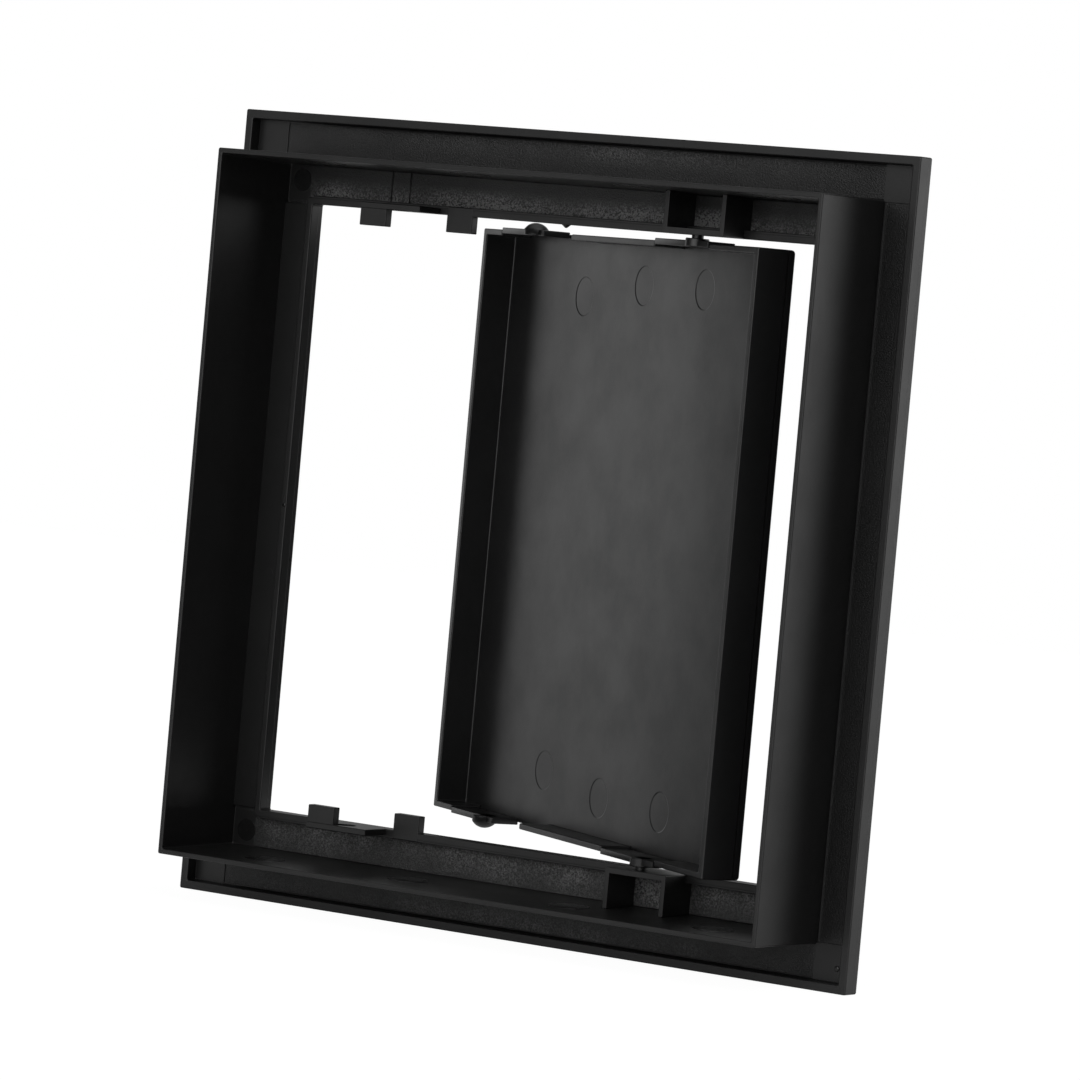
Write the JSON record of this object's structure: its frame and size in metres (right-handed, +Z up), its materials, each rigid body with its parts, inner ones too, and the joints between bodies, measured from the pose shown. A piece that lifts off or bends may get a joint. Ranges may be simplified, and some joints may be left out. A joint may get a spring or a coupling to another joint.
{
  "type": "access panel",
  "caption": "Square plastic access panel for a wall or ceiling: face frame with a deep collar and a tray-shaped door that turns on moulded pins and snaps shut with sprung domes.",
  "frame": {"origin": "centre of the opening, on the plane of the flange's rear rim, where it meets the wall", "axes": "+Y points into the wall void, -Y into the room, +Z is up; seen from the room the hinge is on the left, at -X"},
  "size_m": [0.22, 0.0963, 0.22],
  "materials": {
    "frame_plastic": "black, fine spark texture",
    "door_plastic": "black, semi-gloss"
  },
  "bodies": {
    "frame": {"frame_moulding": "frame_plastic", "hinge_bracket_top": "frame_plastic", "hinge_bracket_bottom": "frame_plastic", "latch_keeper_top": "frame_plastic", "latch_keeper_bottom": "frame_plastic", "rim_stop_top": "frame_plastic", "rim_stop_bottom": "frame_plastic", "lip_stop_top": "frame_plastic", "lip_stop_bottom": "frame_plastic"},
    "door": {"door_tray": "door_plastic"},
    "pin_flap_top_body": {"pin_flap_top": "door_plastic"},
    "pin_flap_bottom_body": {"pin_flap_bottom": "door_plastic"},
    "latch_flap_top_body": {"latch_flap_top": "door_plastic"},
    "latch_flap_bottom_body": {"latch_flap_bottom": "door_plastic"}
  },
  "joints": [
    {"name": "door_hinge", "type": "hinge", "parent": "frame", "child": "door", "pos_m": [-0.046, 0.004, 0], "axis": [0, 0, -1], "range_deg": [-30, 115]},
    {"name": "latch_flex_top", "type": "hinge", "parent": "door", "child": "latch_flap_top_body", "pos_m": [0.05576, -0.05475, 0.0817], "axis": [-0.5, -0.866, 0], "range_deg": [0, 4], "stiffness_Nm_per_rad": 0.9},
    {"name": "latch_flex_bottom", "type": "hinge", "parent": "door", "child": "latch_flap_bottom_body", "pos_m": [0.05576, -0.05475, -0.0817], "axis": [0.5, 0.866, 0], "range_deg": [0, 4], "stiffness_Nm_per_rad": 0.9},
    {"name": "pin_flex_top", "type": "hinge", "parent": "door", "child": "pin_flap_top_body", "pos_m": [-0.02695, -0.007, 0.0817], "axis": [-0.5, -0.866, 0], "range_deg": [0, 4.5], "stiffness_Nm_per_rad": 1},
    {"name": "pin_flex_bottom", "type": "hinge", "parent": "door", "child": "pin_flap_bottom_body", "pos_m": [-0.02695, -0.007, -0.0817], "axis": [0.5, 0.866, 0], "range_deg": [0, 4.5], "stiffness_Nm_per_rad": 1}
  ]
}
